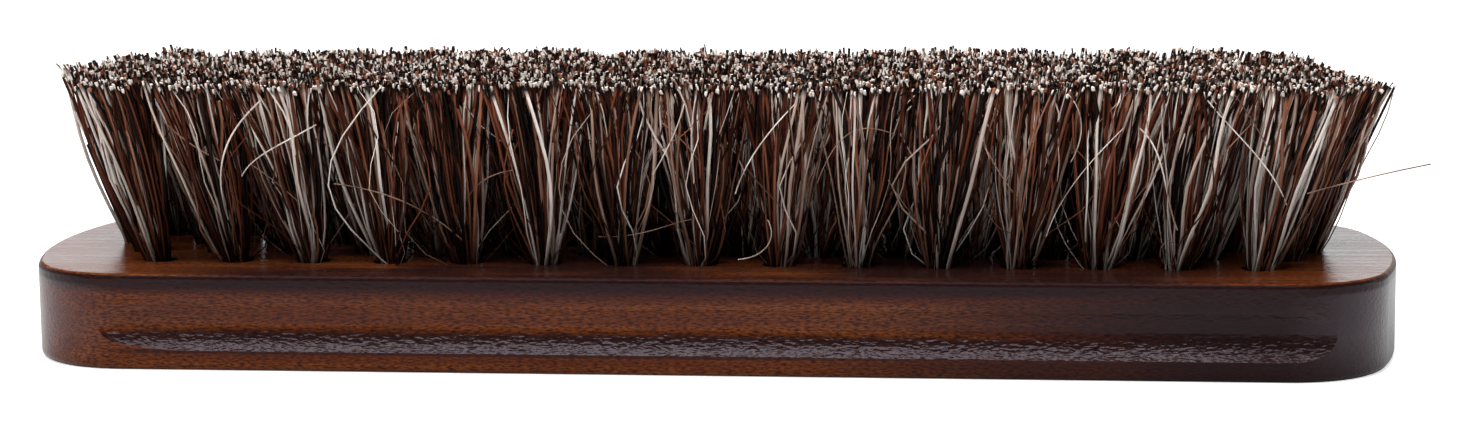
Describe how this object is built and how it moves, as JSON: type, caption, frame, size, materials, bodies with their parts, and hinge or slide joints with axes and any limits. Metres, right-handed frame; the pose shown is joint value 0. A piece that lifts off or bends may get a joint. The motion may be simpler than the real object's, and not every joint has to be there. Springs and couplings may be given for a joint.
{
  "type": "shoe shine brush",
  "caption": "Stained wooden shoe shine brush with rounded ends, a finger groove along each long side and rows of trimmed horsehair tufts that buff polished leather.",
  "frame": {"origin": "middle of the block's flat back, which the brush lies on", "axes": "+X along the block, +Y across it to the far side, +Z from the back towards the bristle tips"},
  "size_m": [0.18, 0.052, 0.0365],
  "materials": {
    "stained_wood": "walnut stain under semi-gloss lacquer",
    "horsehair": "mixed natural horsehair, cut tips",
    "staple_wire": "drawn steel wire"
  },
  "bodies": {
    "root": {"handle_block": "stained_wood", "row_1_left_tufts": "horsehair", "row_1_middle_tufts": "horsehair", "row_1_right_tufts": "horsehair", "row_1_staples": "staple_wire", "row_2_left_tufts": "horsehair", "row_2_middle_tufts": "horsehair", "row_2_right_tufts": "horsehair", "row_2_staples": "staple_wire", "row_3_left_tufts": "horsehair", "row_3_middle_tufts": "horsehair", "row_3_right_tufts": "horsehair", "row_3_staples": "staple_wire", "row_4_left_tufts": "horsehair", "row_4_middle_tufts": "horsehair", "row_4_right_tufts": "horsehair", "row_4_staples": "staple_wire", "row_5_left_tufts": "horsehair", "row_5_middle_tufts": "horsehair", "row_5_right_tufts": "horsehair", "row_5_staples": "staple_wire"}
  },
  "joints": []
}
